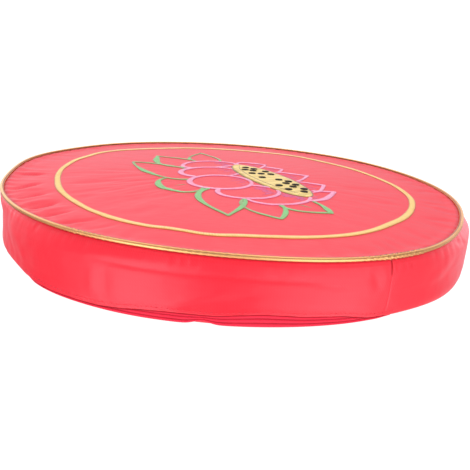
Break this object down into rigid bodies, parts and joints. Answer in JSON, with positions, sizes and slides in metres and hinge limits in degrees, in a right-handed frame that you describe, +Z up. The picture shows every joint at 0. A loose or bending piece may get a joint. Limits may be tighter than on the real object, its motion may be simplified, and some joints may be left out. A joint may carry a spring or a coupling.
{
  "type": "round meditation cushion",
  "caption": "Round box-edge floor cushion in red satin, with gold piping, a gold ring and a lotus stitched on its top, and a closed zip in the foot of the band.",
  "frame": {"origin": "on the floor under the middle of the cushion", "axes": "+Z up through the top panel, -Y towards the zipped side of the band, +X to the right of that side"},
  "size_m": [0.4104, 0.411, 0.0516],
  "materials": {
    "red_satin": "red satin-weave polyester with a soft pinkish sheen",
    "gold_lame": "gold lame cloth wrapped over a cord",
    "zip_tape": "red woven zip tape and closed coil",
    "embroidery_thread": "glossy embroidery thread in satin stitch"
  },
  "bodies": {
    "root": {"cushion": "red_satin", "piping": "gold_lame", "zip": "zip_tape", "stitched_ring": "embroidery_thread"}
  },
  "joints": []
}
